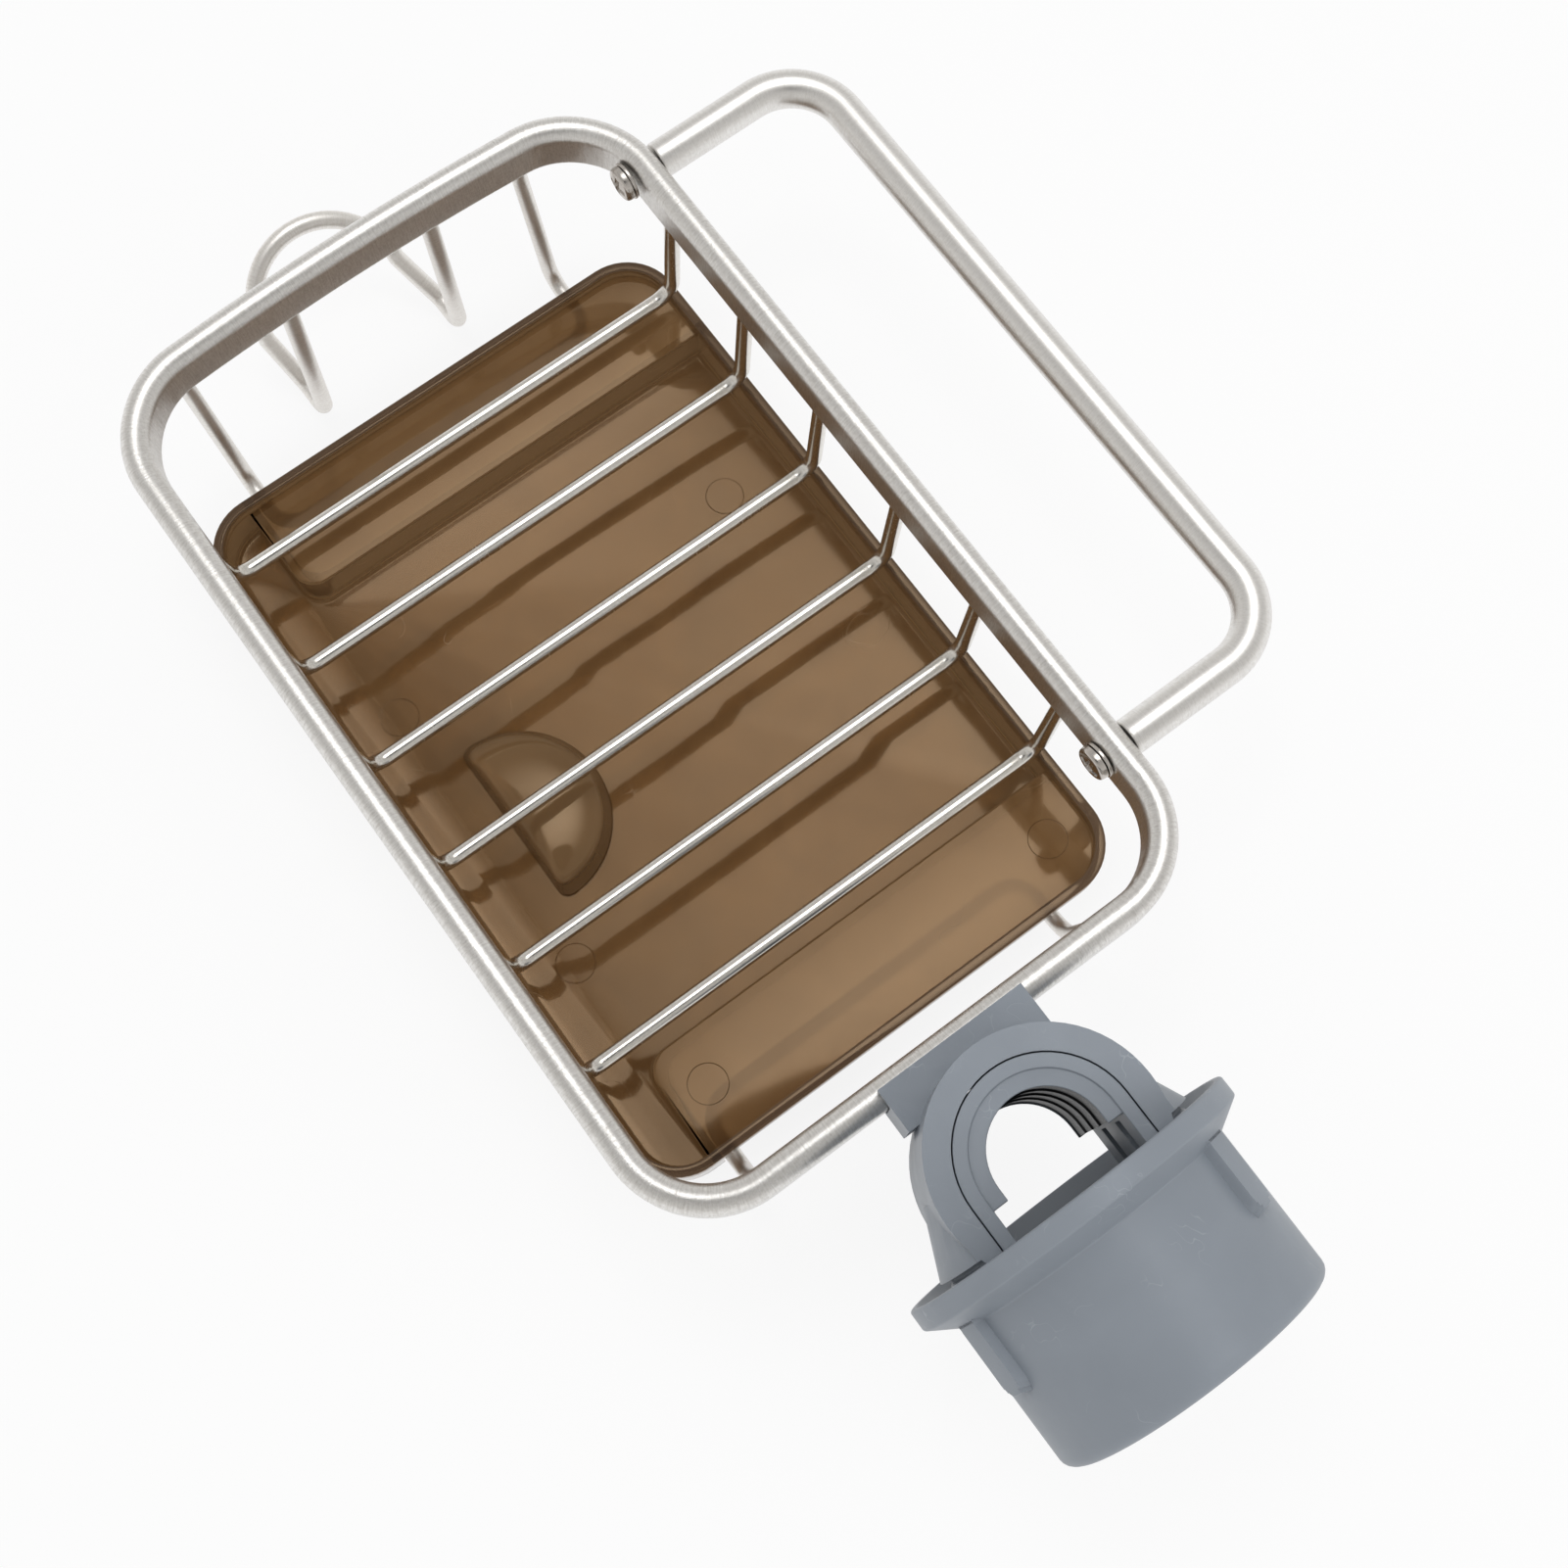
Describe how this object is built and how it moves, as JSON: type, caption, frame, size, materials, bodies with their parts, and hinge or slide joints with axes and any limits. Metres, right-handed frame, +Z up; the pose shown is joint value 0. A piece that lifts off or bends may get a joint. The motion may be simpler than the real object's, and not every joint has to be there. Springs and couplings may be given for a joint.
{
  "type": "over-faucet sink caddy",
  "caption": "Metal basket with a slide-out drip tray, a towel bar and a double hook, held on a faucet's neck by a screw clamp at one end.",
  "frame": {"origin": "middle of the faucet hole, on its vertical axis at the clamp ring's mid-height", "axes": "+Z up along the faucet, +X from the hole into the clamp's knob, +Y to the towel bar"},
  "size_m": [0.3384, 0.189, 0.1017],
  "materials": {
    "satin_aluminium": "satin",
    "bright_wire": "satin",
    "polished_steel": "gloss",
    "clamp_plastic": "matte",
    "black_rubber": "matte",
    "smoke_plastic": "gloss"
  },
  "bodies": {
    "basket": {"rim_frame": "satin_aluminium", "cross_wire_1": "bright_wire", "cross_wire_2": "bright_wire", "cross_wire_3": "bright_wire", "cross_wire_4": "bright_wire", "cross_wire_5": "bright_wire", "cross_wire_6": "bright_wire", "tray_loop_far": "bright_wire", "tray_loop_near": "bright_wire", "double_hook": "bright_wire", "towel_bar": "satin_aluminium", "bar_screw_1": "polished_steel", "bar_screw_2": "polished_steel", "bar_washer_1": "polished_steel", "bar_washer_2": "polished_steel", "clamp_body": "clamp_plastic", "clamp_liner": "clamp_plastic", "liner_pad": "black_rubber", "clamp_screw_1": "polished_steel", "clamp_screw_2": "polished_steel"},
    "tray": {"drip_tray": "smoke_plastic"},
    "jaw": {"clamp_jaw": "clamp_plastic", "jaw_pad": "black_rubber"},
    "knob": {"clamp_knob": "clamp_plastic"}
  },
  "joints": [
    {"name": "tray_slide", "type": "slide", "parent": "basket", "child": "tray", "axis": [0, -1, 0], "range_m": [0, 0.145]},
    {"name": "jaw_slide", "type": "slide", "parent": "basket", "child": "jaw", "axis": [-1, 0, 0], "range_m": [0, 0.0072]},
    {"name": "knob_turn", "type": "hinge", "parent": "jaw", "child": "knob", "pos_m": [0.03, 0, 0], "axis": [-1, 0, 0], "range_deg": [0, 515]}
  ],
  "couplings": [
    {"joint": "jaw_slide", "follows": "knob_turn", "m_per_rad": 0.00079577}
  ]
}
